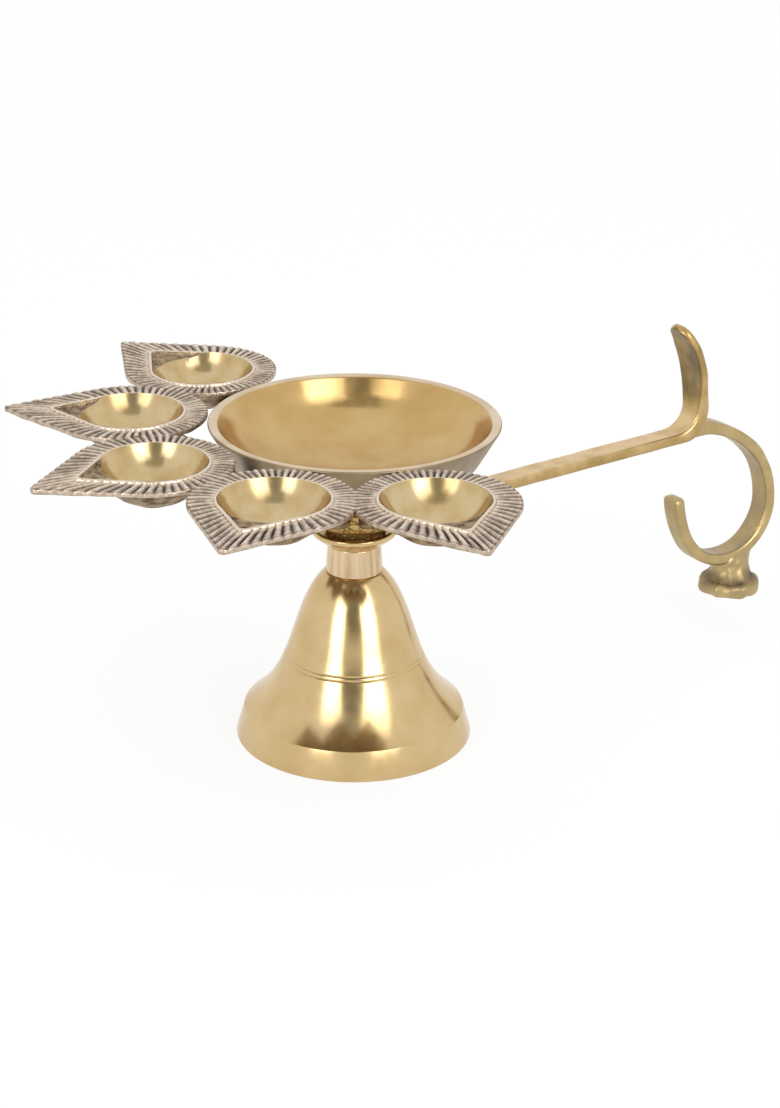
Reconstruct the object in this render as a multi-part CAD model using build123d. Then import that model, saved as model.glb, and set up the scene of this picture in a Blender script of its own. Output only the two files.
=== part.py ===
from build123d import *
import math
import os

# Five-wick aarti lamp. Millimetres, +Z up, origin at the centre of the foot, handle along +X.

# Bell base
foot_radius = 30.0
band_height = 7.4
band_inset = 2.1
flare_radius = 20.75
flare_height = 15.3
body_radius = 15.6
body_height = 27.5
crown_radius = 7.4
bell_height = 44.5
bell_wall = 2.2
crown_thickness = 8.2
groove_height = 22.7
groove_pitch = 1.0
groove_width = 0.5
groove_depth = 0.35

# Neck sleeve, with a threaded tail that holds it in the bell
neck_height = 7.2
neck_foot_radius = 7.1
neck_top_radius = 6.65
tail_radius = 5.0
pilot_radius = 5.2
pilot_height = 1.6
tail_clearance = 0.05
tail_end = 1.0
base_washer_radius = 8.6
base_washer_thickness = 1.0
nut_across_flats = 14.5
nut_thickness = 4.5

# Seat ring on the neck
ring_radius = 10.6
ring_height = 4.2
ring_floor = 3.0
ring_edge = 1.1
ring_seat_radius = 7.8
ring_clearance = 0.05

# Hub of the head
hub_height = 10.0
hub_foot_radius = 7.2
hub_foot_height = 2.4
hub_radius = 12.0
hub_belly_height = 1.4
hub_crown_drop = 1.6

# Centre bowl, its stud and washer
bowl_height = 18.3
bowl_rim_radius = 36.0
bowl_rim_width = 2.5
bowl_wall_drop = 11.0
bowl_wall_lean = 6.2
bowl_wall = 2.1
bowl_boss_radius = 8.0
bowl_boss_height = 2.0
bowl_rim_round = 0.6
bowl_floor_round = 9.0
stud_radius = 3.0
stud_clearance = 0.06
stud_engagement = 12.0
stud_socket = 2.0
washer_radius = 6.6
washer_thickness = 1.0

# Leaf cups
cup_count = 5
cup_pitch = 38.5
bowl_gap = 0.5
leaf_radius = 19.5
leaf_length = 51.4
leaf_tip_round = 1.5
leaf_rise = 29.8
leaf_slope = 0.4
leaf_edge = 1.3
lip_width = 1.1
lip_height = 0.5
well_offset = 0.6
well_radius = 13.1
well_depth = 9.5
well_point = 20.4
well_wall = 1.8
channel_floor = 0.9
channel_slope = 5.0
channel_start = 8.0
rib_count = 60
rib_groove_width = 1.3
rib_groove_depth = 0.7
rib_groove_start = 0.9

# Arms from the hub to the cups
cup_arm_width = 6.0
cup_arm_thickness = 4.0
cup_arm_root_height = 6.2
cup_arm_sag = 1.2
cup_arm_landing = 235.0
cup_arm_edge_round = 1.2

# Handle bar and thumb rest
bar_width = 6.8
bar_thickness = 2.7
bar_edge_round = 0.8
bar_rise = 1.8
bar_root_height = 2.8
bar_reach = 100.0
bend_radius = 7.7
thumb_upright = 3.0
thumb_lean_radius = 31.0
thumb_lean = 48.0
thumb_waist = 6.2
thumb_width = 8.4
thumb_tip_width = 5.0

# Finger hook and its foot
hook_thickness = 2.6
hook_width = 6.8
hook_tip_width = 5.0
hook_edge_round = 0.8
hook_start_angle = -3.2
hook_shoulder_radius = 35.0
hook_shoulder_turn = 38.4
hook_side_radius = 25.0
hook_side_turn = 44.2
hook_bottom_radius = 14.8
hook_bottom_turn = 89.0
hook_front_radius = 16.0
hook_front_turn = 64.0
hook_tip_radius = 30.0
hook_tip_turn = 28.0
foot_disc_radius = 8.4
foot_disc_thickness = 4.0
foot_disc_round = 1.2
foot_stem_radius = 4.8
foot_stem_height = 5.5
foot_stem_waist = 3.6
foot_stem_flare = 2.4
foot_stem_spread = 1.2
foot_saddle_drop = 0.4
foot_disc_offset = 2.5

# Levels of the stack, from the table up
neck_seat = bell_height
ring_seat = neck_seat + neck_height
hub_seat = ring_seat + ring_floor
hub_top = hub_seat + hub_height
bowl_foot = hub_top + washer_thickness
bowl_rim = bowl_foot + bowl_height
far = 1000.0


def turned(points):
    """Solid turned about Z from a half outline of straight runs, given as (radius, height)."""
    return revolve(Plane.XZ * make_face(Polyline(*points, close=True)), Axis.Z)


def slab(low, high):
    """Everything between two heights."""
    return Pos(0, 0, low) * Box(far, far, high - low, align=(Align.CENTER, Align.CENTER, Align.MIN))


def tube(outer, inner, low, high):
    """Plain ring about Z."""
    return turned([(inner, low), (outer, low), (outer, high), (inner, high)])


def bell_form(inset):
    """Solid bell with its outline moved inwards."""
    foot = (foot_radius - inset, 0)
    band = (foot_radius - band_inset - inset, band_height)
    crown = (crown_radius - inset, bell_height)
    side = Spline(
        band,
        (flare_radius - inset, flare_height),
        (body_radius - inset, body_height),
        crown,
        tangents=[(-1, 0.8), (-1, 1)],
    )
    outline = [
        Line((0, 0), foot),
        Line(foot, band),
        side,
        Line(crown, (0, bell_height)),
        Line((0, bell_height), (0, 0)),
    ]
    return revolve(Plane.XZ * make_face(outline), Axis.Z)


def bell_base():
    bell = bell_form(0)
    bell -= bell_form(bell_wall) & slab(0, bell_height - crown_thickness)
    bell -= Cylinder(tail_radius + tail_clearance, far)
    skin = bell_form(0) - bell_form(groove_depth)
    for row in range(2):
        top = groove_height - row * groove_pitch
        bell -= skin & slab(top - groove_width, top)
    return bell


def neck_sleeve():
    tail_low = neck_seat - crown_thickness - base_washer_thickness - nut_thickness - tail_end
    bore = stud_radius + stud_clearance
    return turned([
        (bore, tail_low),
        (tail_radius, tail_low),
        (tail_radius, neck_seat),
        (neck_foot_radius, neck_seat),
        (neck_top_radius, ring_seat),
        (pilot_radius, ring_seat),
        (pilot_radius, ring_seat + pilot_height),
        (bore, ring_seat + pilot_height),
    ])


def base_washer():
    top = neck_seat - crown_thickness
    return tube(base_washer_radius, tail_radius + tail_clearance, top - base_washer_thickness, top)


def base_nut():
    low = neck_seat - crown_thickness - base_washer_thickness - nut_thickness
    blank = extrude(RegularPolygon(nut_across_flats / 2, 6, major_radius=False), nut_thickness)
    blank -= Cylinder(tail_radius + tail_clearance, far)
    return Pos(0, 0, low) * blank


def seat_ring():
    socket = pilot_radius + ring_clearance
    socket_top = ring_seat + pilot_height + ring_clearance
    bore = stud_radius + stud_clearance
    return turned([
        (socket, ring_seat),
        (neck_top_radius + ring_clearance, ring_seat),
        (ring_radius, ring_seat + ring_height - ring_edge),
        (ring_radius, ring_seat + ring_height),
        (ring_radius - ring_edge, ring_seat + ring_height),
        (ring_seat_radius, hub_seat),
        (bore, hub_seat),
        (bore, socket_top),
        (socket, socket_top),
    ])


def hub_form():
    """Hub without its bore: a foot, a flared calyx and a low crown."""
    waist = (hub_foot_radius, hub_seat + hub_foot_height)
    belly_low = (hub_radius, hub_top - hub_crown_drop - hub_belly_height)
    belly_high = (hub_radius, hub_top - hub_crown_drop)
    crown = (hub_radius - hub_crown_drop, hub_top)
    outline = [
        Line((0, hub_seat), (hub_foot_radius, hub_seat)),
        Line((hub_foot_radius, hub_seat), waist),
        Bezier(waist, (hub_radius, waist[1]), belly_low),
        Line(belly_low, belly_high),
        Line(belly_high, crown),
        Line(crown, (0, hub_top)),
        Line((0, hub_top), (0, hub_seat)),
    ]
    return revolve(Plane.XZ * make_face(outline), Axis.Z)


def hub():
    return hub_form() - Cylinder(stud_radius + stud_clearance, far)


def bowl_washer():
    return tube(washer_radius, stud_radius + stud_clearance, hub_top, bowl_foot)


def bowl_stud():
    low = hub_seat - stud_engagement
    top = bowl_foot + stud_socket
    return Pos(0, 0, low) * Cylinder(stud_radius, top - low, align=(Align.CENTER, Align.CENTER, Align.MIN))


def bowl_side(drop, inset):
    """Point on the bowl's outer wall, a drop below the rim and moved in by an inset."""
    return (bowl_rim_radius - bowl_wall_lean * drop / bowl_wall_drop - inset, bowl_rim - drop)


def center_bowl():
    lean = math.hypot(bowl_wall_lean, bowl_wall_drop) / bowl_wall_drop
    floor = bowl_foot + bowl_boss_height + bowl_wall
    turn_out = bowl_side(bowl_wall_drop, 0)
    turn_in = bowl_side(bowl_wall_drop - bowl_wall, bowl_wall * lean)
    rim_out = (bowl_rim_radius, bowl_rim - bowl_rim_round)
    rim_top = (bowl_rim_radius - bowl_rim_round, bowl_rim)
    rim_in = (bowl_rim_radius - bowl_rim_width, bowl_rim)
    boss_low = (bowl_boss_radius, bowl_foot)
    boss_high = (bowl_boss_radius, bowl_foot + bowl_boss_height)
    outline = [
        Line((0, bowl_foot), boss_low),
        Line(boss_low, boss_high),
        TangentArc(boss_high, turn_out, tangent=(1, 0)),
        Line(turn_out, rim_out),
        Line(rim_out, rim_top),
        Line(rim_top, rim_in),
        Line(rim_in, turn_in),
        TangentArc((0, floor), turn_in, tangent=(1, 0)),
        Line((0, floor), (0, bowl_foot)),
    ]
    section = make_face(outline)
    section = fillet(section.vertices().sort_by_distance(turn_in)[:1], bowl_floor_round)
    section = fillet(section.vertices().sort_by_distance(turn_out)[:1], bowl_floor_round + bowl_wall)
    bowl = revolve(Plane.XZ * section, Axis.Z)
    socket = Cylinder(stud_radius + stud_clearance, far) & slab(0, bowl_foot + stud_socket)
    return bowl - socket


leaf_center = bowl_rim_radius + bowl_gap + leaf_radius
lip_level = hub_seat + leaf_rise
well_center = leaf_center - well_offset
well_sphere = (well_radius ** 2 + well_depth ** 2) / (2 * well_depth)
well_middle = lip_level + lip_height - well_depth + well_sphere
cup_sphere = well_sphere + well_wall


def half_teardrop(center, radius, point):
    """Upper half of a teardrop outline, from the middle of its round end to its sharp point."""
    turn = math.acos(radius / point)
    end = CenterArc((center, 0), radius, 180, math.degrees(turn) - 180)
    return Wire([end, Line(end @ 1, (center + point, 0))])


def teardrop(center, radius, point):
    """Round outline with two tangent sides that meet in a rounded point."""
    upper = half_teardrop(center, radius, point)
    face = make_face([*upper.edges(), *mirror(upper, Plane.XZ).edges()])
    return fillet(face.vertices().sort_by(Axis.X)[-1:], leaf_tip_round)


def leaf_outline():
    """Centre, radius and distance to the point of the leaf's outer edge."""
    return leaf_center, leaf_radius, leaf_length - leaf_radius


def well_outline(margin):
    """The same for the well and its wick channel, moved outwards by a margin."""
    return well_center, well_radius + margin, well_point * (1 + margin / well_radius)


def rib_grooves():
    """Grooves that leave the ribs of a leaf's rim between them, deepest at the outer edge."""
    inner = half_teardrop(*well_outline(lip_width))
    outer = half_teardrop(*leaf_outline())
    edge_low = lip_level - leaf_slope - rib_groove_depth
    flank = rib_groove_width / rib_groove_depth / 2
    height = rib_groove_depth + lip_height
    notch = Polygon((0, 0), (flank * height, height), (-flank * height, height), align=None)
    grooves = []
    for number in range(rib_count // 2):
        share = (number + 0.5) / (rib_count // 2)
        start = inner.position_at(share * inner.length, PositionMode.LENGTH) + Vector(0, 0, lip_level)
        end = outer.position_at(share * outer.length, PositionMode.LENGTH) + Vector(0, 0, edge_low)
        run = (end - start).normalized()
        across = Vector(-run.Y, run.X, 0)
        section = Plane(start + run * rib_groove_start, x_dir=across, z_dir=run) * notch
        groove = extrude(section, (end - start).length)
        grooves += [groove, mirror(groove, Plane.XZ)]
    return grooves


def leaf_form():
    """One whole leaf cup along +X: ribbed rim, turned well, wick channel and raised lip."""
    outer = teardrop(*leaf_outline())
    lip_edge = teardrop(*well_outline(lip_width))
    edge_top = lip_level - leaf_slope
    plate = Pos(0, 0, edge_top - leaf_edge) * extrude(outer, leaf_edge)
    crown = loft([Pos(0, 0, edge_top) * outer, Pos(0, 0, lip_level) * lip_edge], ruled=True)
    lip = Pos(0, 0, lip_level) * extrude(lip_edge, lip_height)
    ball = Pos(well_center, 0, well_middle)
    belly = ball * Sphere(cup_sphere) & slab(0, edge_top)
    channel = Pos(0, 0, lip_level - far / 2) * extrude(teardrop(*well_outline(0)), far)
    channel_end = Pos(well_center + well_point, 0, lip_level + lip_height - channel_floor)
    above = Box(far, far, far, align=(Align.CENTER, Align.CENTER, Align.MIN))
    channel &= channel_end * Rot(0, -channel_slope, 0) * above
    outward = Box(far, far, far, align=(Align.MIN, Align.CENTER, Align.CENTER))
    channel &= Pos(well_center + channel_start, 0, 0) * outward
    leaf = plate + crown + lip + belly - ball * Sphere(well_sphere) - channel
    return leaf - rib_grooves()


def beyond(angle):
    """Everything on the left of the ray that leaves the axis at an angle."""
    return Rot(0, 0, angle) * Pos(0, far / 2, 0) * Box(far, far, far)


def cup_arm_form(hub_blank):
    """One arm along +X, cut where it is brazed to the hub and to the round of the cup."""
    landing = math.radians(cup_arm_landing)
    start = (hub_foot_radius, hub_seat + cup_arm_root_height)
    end = (well_center + well_sphere * math.cos(landing), well_middle + well_sphere * math.sin(landing))
    middle = ((start[0] + end[0]) / 2, (start[1] + end[1]) / 2 - cup_arm_sag)
    path = ThreePointArc(start, middle, end)
    arm = bar(path, cup_arm_thickness, cup_arm_width, cup_arm_edge_round)
    return arm - hub_blank - Pos(well_center, 0, well_middle) * Sphere(cup_sphere)


def bar(path, thickness, width, edge_round):
    """Flat bar of constant section with soft edges, whose centre line is a path in the X-Z plane."""
    line = Plane.XZ * Wire(path)
    start = Plane(line @ 0, x_dir=(0, 1, 0), z_dir=line % 0)
    return sweep(start * RectangleRounded(width, thickness, edge_round), line)


bar_start = (hub_foot_radius / 2, hub_seat + bar_root_height)
bar_climb = (bar_reach - bar_start[0]) * math.tan(math.radians(bar_rise))
bar_run = Line(bar_start, (bar_reach, bar_start[1] + bar_climb))
bar_bend = JernArc(bar_run @ 1, bar_run % 1, bend_radius, 90 - bar_rise)
thumb_run = Line(bar_bend @ 1, bar_bend @ 1 + Vector(0, thumb_upright))
thumb_curve = JernArc(thumb_run @ 1, (0, 1), thumb_lean_radius, thumb_lean)


def thumb_outline():
    """Front outline of the thumb rest: a narrow waist, a wide leaf and a rounded tip."""
    low = (bar_bend @ 0.5).Y
    waist = (thumb_run @ 1).Y
    tip = (thumb_curve @ 1).Y - bar_thickness
    wide = (thumb_curve @ 0.45).Y
    tip_low = tip - thumb_tip_width / 2
    sides = []
    for hand in (1, -1):
        sides.append(Spline(
            (hand * bar_width / 2, low),
            (hand * thumb_waist / 2, waist),
            (hand * thumb_width / 2, wide),
            (hand * thumb_tip_width / 2, tip_low),
        ))
    tip_arc = ThreePointArc(sides[0] @ 1, (0, tip), sides[1] @ 1)
    return make_face([*sides, tip_arc, Line(sides[0] @ 0, sides[1] @ 0)])


def handle_arm(hub_blank):
    path = [bar_run, bar_bend, thumb_run, thumb_curve]
    low = (bar_bend @ 0.5).Y
    straight = bar(path, bar_thickness, bar_width, bar_edge_round) & slab(0, low)
    thumb = bar(path, bar_thickness, thumb_width, bar_edge_round) & extrude(Plane.YZ * thumb_outline(), far)
    return straight + thumb - hub_blank


def hook_path():
    lead = Vector(1, 0).rotate(Axis.Z, hook_start_angle)
    shoulder = JernArc(bar_bend @ 0.5, lead, hook_shoulder_radius, -hook_shoulder_turn)
    side = JernArc(shoulder @ 1, shoulder % 1, hook_side_radius, -hook_side_turn)
    bottom = JernArc(side @ 1, side % 1, hook_bottom_radius, -hook_bottom_turn)
    front = JernArc(bottom @ 1, bottom % 1, hook_front_radius, -hook_front_turn)
    tip = JernArc(front @ 1, front % 1, hook_tip_radius, -hook_tip_turn)
    return [shoulder, side, bottom, front, tip]


def finger_hook(arm):
    path = hook_path()
    hook = bar(path, hook_thickness, hook_width, hook_edge_round)
    full = path[2] @ 1
    tip = path[-1] @ 1
    half = hook_width / 2
    taper = Polygon(
        (full.X, half),
        (full.X, -half),
        (tip.X - hook_thickness, -hook_tip_width / 2),
        (tip.X - hook_thickness, hook_tip_width / 2),
        align=None,
    )
    front = Box(far, far, far, align=(Align.MAX, Align.CENTER, Align.MAX))
    front = Pos(full.X, 0, (path[1] @ 0.5).Y) * front
    hook = (hook - front) + (hook & front & extrude(taper, far, both=True))
    return hook - arm


def rest_foot(hook):
    bottom = hook_path()[2]
    seat = bottom @ 1
    disc_low = seat.Y - hook_thickness / 2 - foot_stem_height - foot_disc_thickness
    disc = Cylinder(foot_disc_radius, foot_disc_thickness, align=(Align.CENTER, Align.CENTER, Align.MIN))
    disc = fillet(disc.edges(), foot_disc_round)
    waist = Pos(0, 0, foot_disc_thickness + foot_stem_height / 2)
    top = Pos(0, 0, foot_disc_thickness + foot_stem_height + hook_thickness - foot_saddle_drop)
    stem = loft([
        Pos(0, 0, foot_disc_thickness) * Circle(foot_stem_radius + foot_stem_flare),
        waist * Ellipse(foot_stem_radius, foot_stem_waist),
        top * Ellipse(foot_stem_radius + foot_stem_spread, hook_width / 2 - hook_edge_round),
    ])
    return Pos(seat.X + foot_disc_offset, 0, disc_low) * (disc + stem) - hook


def lamp():
    """Every piece of the lamp, by name."""
    pieces = {
        "bell_base": bell_base(),
        "neck_sleeve": neck_sleeve(),
        "base_washer": base_washer(),
        "base_nut": base_nut(),
        "seat_ring": seat_ring(),
        "hub": hub(),
        "bowl_washer": bowl_washer(),
        "bowl_stud": bowl_stud(),
        "center_bowl": center_bowl(),
    }
    hub_blank = hub_form()
    leaf = leaf_form()
    arm = cup_arm_form(hub_blank)
    for number in range(1, cup_count + 1):
        turn = Rot(0, 0, 180 + (number - (cup_count + 1) / 2) * cup_pitch)
        cup = leaf
        if number < cup_count:
            cup = cup - beyond(cup_pitch / 2)
        if number > 1:
            cup = cup - Rot(0, 0, 180) * beyond(-cup_pitch / 2)
        pieces[f"leaf_cup_{number}"] = turn * cup
        pieces[f"cup_arm_{number}"] = turn * arm
    pieces["handle_arm"] = handle_arm(hub_blank)
    pieces["finger_hook"] = finger_hook(pieces["handle_arm"])
    pieces["rest_foot"] = rest_foot(pieces["finger_hook"])
    return pieces


os.makedirs("parts", exist_ok=True)
for name, piece in lamp().items():
    piece.label = name
    export_step(piece, f"parts/{name}.step")
    print(name, round(piece.volume, 1), len(piece.solids()))
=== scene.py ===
# %% [markdown]
# # A five-wick aarti lamp in brass
# The real lamp is a stack of turned brass pieces (bell, neck, ring, hub and bowl) with five cast leaf cups round the
# bowl and a cast handle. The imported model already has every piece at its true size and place. This lesson dresses it:
# smooth turned skins for the polished pieces, ribbed rims for the cups, soft edges for the handle, then finishes,
# camera and light.

import math

import bmesh
import bpy
import numpy as np
from mathutils import Matrix, Vector, noise


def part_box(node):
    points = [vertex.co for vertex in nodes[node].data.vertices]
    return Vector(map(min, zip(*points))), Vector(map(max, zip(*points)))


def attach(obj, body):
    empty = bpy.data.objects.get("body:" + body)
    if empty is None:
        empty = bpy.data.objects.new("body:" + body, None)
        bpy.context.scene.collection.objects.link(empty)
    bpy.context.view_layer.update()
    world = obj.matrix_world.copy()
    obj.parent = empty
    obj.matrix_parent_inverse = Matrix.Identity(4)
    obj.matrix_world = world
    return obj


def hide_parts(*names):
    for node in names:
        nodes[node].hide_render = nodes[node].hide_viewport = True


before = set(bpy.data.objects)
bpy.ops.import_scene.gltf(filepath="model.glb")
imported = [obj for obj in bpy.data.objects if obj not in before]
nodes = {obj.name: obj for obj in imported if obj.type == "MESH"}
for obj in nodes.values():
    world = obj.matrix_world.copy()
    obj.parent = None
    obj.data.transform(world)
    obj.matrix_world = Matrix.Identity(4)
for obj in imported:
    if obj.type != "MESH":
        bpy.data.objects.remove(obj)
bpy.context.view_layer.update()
MM = 0.001


def corners_mm(name):
    """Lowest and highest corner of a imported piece, in millimetres."""
    low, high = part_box(name)
    return np.array(low) / MM, np.array(high) / MM


# %% [markdown]
# ## One function for every node
# Every finish and every Geometry Nodes tree below is built from code. One function adds a node, sets its properties,
# and gives its sockets values or links. Colours are written as the hex values that a paint program shows, and one
# function turns them into the linear values that the renderer works in.

# %% Node and colour helpers
def linear(hex_colour):
    """Linear RGBA of an sRGB colour written as #RRGGBB."""
    channels = [int(hex_colour[i:i + 2], 16) / 255 for i in (1, 3, 5)]
    return [c / 12.92 if c <= 0.04045 else ((c + 0.055) / 1.055) ** 2.4 for c in channels] + [1.0]


def add(tree, kind, sockets=None, stops=(), **settings):
    """Adds a node. A socket takes a value, an output or a node, whose first live output is used."""
    made = tree.nodes.new(kind)
    for name, value in settings.items():
        setattr(made, name, value)
    for name, value in (sockets or {}).items():
        if isinstance(value, bpy.types.Node):
            value = next(output for output in value.outputs if output.enabled)
        if isinstance(value, bpy.types.NodeSocket):
            tree.links.new(value, made.inputs[name])
        else:
            made.inputs[name].default_value = value
    for i, (position, colour) in enumerate(stops):
        elements = made.color_ramp.elements
        element = elements[i] if i < len(elements) else elements.new(position)
        element.position = position
        element.color = linear(colour)
    return made


def emptied(owner):
    """Node tree of a material, world or lamp, with nothing in it yet."""
    owner.use_nodes = True
    owner.node_tree.nodes.clear()
    return owner.node_tree


# %% [markdown]
# ## What all the metals share
# Every finish starts from the place on the piece in millimetres, so that each pattern can be given its real size. It
# ends in a metal shader: the colour follows one pattern, the roughness follows the same or another one, and fine relief
# tilts the surface.

# %% Start and end of a metal
def start_metal(name, *patterns):
    """Starts a finish: the material, its tree, the place in mm, and a noise for each (size in mm, detail)."""
    material = bpy.data.materials.new(name)
    tree = emptied(material)
    spot = add(tree, "ShaderNodeTexCoord").outputs["Object"]
    in_mm = add(tree, "ShaderNodeVectorMath", {0: spot, "Scale": 1 / MM}, operation="SCALE")
    noises = []
    for size, detail in patterns:
        noises.append(add(tree, "ShaderNodeTexNoise", {"Vector": in_mm, "Scale": 1 / size, "Detail": detail}))
    print("finish", name)
    return material, tree, in_mm, *noises


def end_metal(tree, tone, stops, wear, span, *reliefs):
    """Ends a finish: colour stops along a tone, roughness along a wear, and reliefs as (height, depth in mm).

    The span is two values of the wear, and then the roughness at each of them.
    """
    colour = add(tree, "ShaderNodeValToRGB", {0: tone}, stops)
    roughness = add(tree, "ShaderNodeMapRange", {0: wear, **dict(enumerate(span, 1))})
    tilt = {}
    for height, depth in reliefs:
        relief = {"Height": height, "Distance": depth * MM, "Strength": 1.0}
        tilt = {"Normal": add(tree, "ShaderNodeBump", {**relief, **tilt})}
    sockets = {"Metallic": 1.0, "Base Color": colour, "Roughness": roughness, **tilt}
    shader = add(tree, "ShaderNodeBsdfPrincipled", sockets)
    add(tree, "ShaderNodeOutputMaterial", {"Surface": shader})


# %% [markdown]
# ## Turned and polished brass
# The bell, ring and bowl were turned on a lathe and buffed. Buffing leaves a warm, slightly grey gold mirror, and the
# lathe leaves fine rings round the axis that blur reflections a little across the rings. Anisotropic gloss could give
# that blur, but it needs a direction at every point. Rings in the relief need only the radius and the height. The
# real rings are usually a few hundredths of a millimetre apart; they are drawn at 0.35 mm so that they show at all.

# %% Polished brass
RING_SPACING, CLOUD_SIZE, WIPE_SIZE = 0.35, 11, 3


def polished_brass(name, tones, smooth, dull, ring_depth):
    """Buffed brass: three tones, the roughness of its smooth and dull patches, and the depth of its rings."""
    material, tree, in_mm, clouds, wipes = start_metal(name, (CLOUD_SIZE, 4.0), (WIPE_SIZE, 5.0))
    flat = add(tree, "ShaderNodeVectorMath", {0: in_mm, 1: (1, 1, 0)}, operation="MULTIPLY")
    radius = add(tree, "ShaderNodeVectorMath", {0: flat}, operation="LENGTH").outputs["Value"]
    height = add(tree, "ShaderNodeSeparateXYZ", {0: in_mm}).outputs["Z"]
    along = add(tree, "ShaderNodeMath", {0: radius, 1: height}, operation="SUBTRACT")
    rings = {"W": along, "Scale": 1 / RING_SPACING, "Detail": 2.0}
    lines = add(tree, "ShaderNodeTexNoise", rings, noise_dimensions="1D")
    stops = list(zip((0.3, 0.5, 0.7), tones))
    end_metal(tree, clouds, stops, wipes, (0.3, 0.7, smooth, dull), (lines, ring_depth))
    return material


brass = polished_brass("brass_turned_and_buffed", ("#C8AB78", "#CFB483", "#D5BC8E"), 0.15, 0.22, 0.0012)
bowl_brass = polished_brass("brass_turned_bowl", ("#BF9C64", "#C7A66E", "#CDAF79"), 0.14, 0.22, 0.003)
# Painted reflection: the pale top of the bowl's rim stands for the white room mirrored in it.
rim_reflection_brass = polished_brass("brass_rim_painted_reflection", ("#C9B291", "#D4BF9F", "#DDCBB0"), 0.24, 0.34, 0.002)
outer_brass = polished_brass("brass_turned_left_dull", ("#84725A", "#98866B", "#A99779"), 0.34, 0.46, 0.004)
bolt_brass = polished_brass("brass_as_machined", ("#A98E5C", "#BDA06A", "#C9AD77"), 0.26, 0.40, 0.003)

# %% [markdown]
# ## Drawn brass of the neck
# The neck is a length of tube, pulled through a die, so its lines run along it. They show as soft upright stripes of
# pale and darker pinkish gold. A UV map round the tube could carry them, but noise that changes with X and Y and not
# with Z needs no map and has no seam.

# %% Drawn brass
STRIPE_SIZE = 1.4
neck_brass, tree, in_mm = start_metal("brass_drawn_tube")
flat = add(tree, "ShaderNodeVectorMath", {0: in_mm, 1: (1, 1, 0)}, operation="MULTIPLY")
stripes = add(tree, "ShaderNodeTexNoise", {"Vector": flat, "Scale": 1 / STRIPE_SIZE, "Detail": 3.0})
stops = [(0.36, "#C5A97F"), (0.62, "#DFC7A3")]
end_metal(tree, stripes, stops, stripes, (0.3, 0.7, 0.26, 0.16), (stripes, 0.03))

# %% [markdown]
# ## Engraved brass of the hub
# The calyx of the hub has a shallow scroll engraved in it, with dark polish left in the lines. It could be cut into
# the mesh, but it is so shallow that relief in the finish is enough. Cell edges of a Voronoi pattern, bent by noise,
# give loose curls of about 3 mm without any picture.

# %% Engraved brass
SCROLL_SIZE, CURL_SIZE, CURL_REACH = 3.2, 2.6, 5.0
hub_brass, tree, in_mm, bend = start_metal("brass_engraved_and_antiqued", (CURL_SIZE, 1.0))
bent = add(tree, "ShaderNodeVectorMath", {0: bend.outputs["Color"], "Scale": CURL_REACH}, operation="SCALE")
curled = add(tree, "ShaderNodeVectorMath", {0: in_mm, 1: bent}, operation="ADD")
scroll = {"Vector": curled, "Scale": 1 / SCROLL_SIZE}
cells = add(tree, "ShaderNodeTexVoronoi", scroll, feature="DISTANCE_TO_EDGE")
engraved = add(tree, "ShaderNodeMapRange", {0: cells, 1: 0.0, 2: 0.12})
stops = [(0.0, "#6F532A"), (0.5, "#A1804A"), (1.0, "#C3A468")]
end_metal(tree, engraved, stops, engraved, (0.0, 1.0, 0.55, 0.40), (engraved, 0.08))

# %% [markdown]
# ## Cast brass of the leaf cups
# The cups are sand castings that were darkened and then rubbed back, so the ribs are pale and pinkish and the grooves
# stay grey brown. An occlusion node could look for the grooves, but the mesh knows them exactly: it carries an
# attribute called crest, 1 on top of a rib and 0 in a groove, and the colour follows it. The wells were turned bright
# afterwards. Undersides keep the rough brown casting skin.

# %% Antiqued rim
SAND_GRAIN, RUB_SIZE = 0.7, 1.3
rim_brass, tree, _, blotches, sand = start_metal("brass_cast_antiqued", (RUB_SIZE, 4.0), (SAND_GRAIN, 4.0))
# Crest also carries the painted shade of the rim's plain edge band.
crest = add(tree, "ShaderNodeAttribute", attribute_name="crest").outputs["Fac"]
rubbed = add(tree, "ShaderNodeMapRange", {0: blotches, 1: 0.25, 2: 0.75, 3: -0.15, 4: 0.15})
worn = add(tree, "ShaderNodeMath", {0: rubbed, 1: crest}, operation="ADD")
stops = [(0.2, "#5C5049"), (0.5, "#847568"), (0.72, "#B5A391"), (0.95, "#DFD0BC")]
end_metal(tree, worn, stops, worn, (0.0, 1.0, 0.55, 0.30), (sand, 0.07))

# %% Casting skin
LUMP_SIZE = 2.6
skin_brass, tree, _, lumps, sand = start_metal("brass_cast_skin", (LUMP_SIZE, 6.0), (SAND_GRAIN, 5.0))
stops = [(0.32, "#65523E"), (0.46, "#8F7B63"), (0.58, "#A8947A"), (0.72, "#BB9A66")]
end_metal(tree, lumps, stops, lumps, (0.3, 0.7, 0.6, 0.38), (sand, 0.25), (lumps, 0.4))

# %% Turned wells
BUFF_SIZE, DARKER_FROM, DARKEST_FROM = 6, 11.5, 13.6
well_brass, tree, _, clouds = start_metal("brass_turned_well", (BUFF_SIZE, 3.0))
from_axis = add(tree, "ShaderNodeAttribute", attribute_name="from_axis").outputs["Fac"]
rings = {"W": from_axis, "Scale": 1 / RING_SPACING, "Detail": 2.0}
lines = add(tree, "ShaderNodeTexNoise", rings, noise_dimensions="1D")
# The colour of the well is made darker towards its rim.
rim_darkening = add(tree, "ShaderNodeMapRange", {0: from_axis, 1: DARKER_FROM, 2: DARKEST_FROM, 3: 0.0, 4: 0.2})
buffed = add(tree, "ShaderNodeMath", {0: clouds, 1: rim_darkening}, operation="SUBTRACT")
stops = [(0.15, "#A38B5F"), (0.35, "#C1A778"), (0.5, "#CAB284"), (0.65, "#D0BA90")]
end_metal(tree, buffed, stops, buffed, (0.2, 0.6, 0.26, 0.16), (lines, 0.006))
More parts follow.
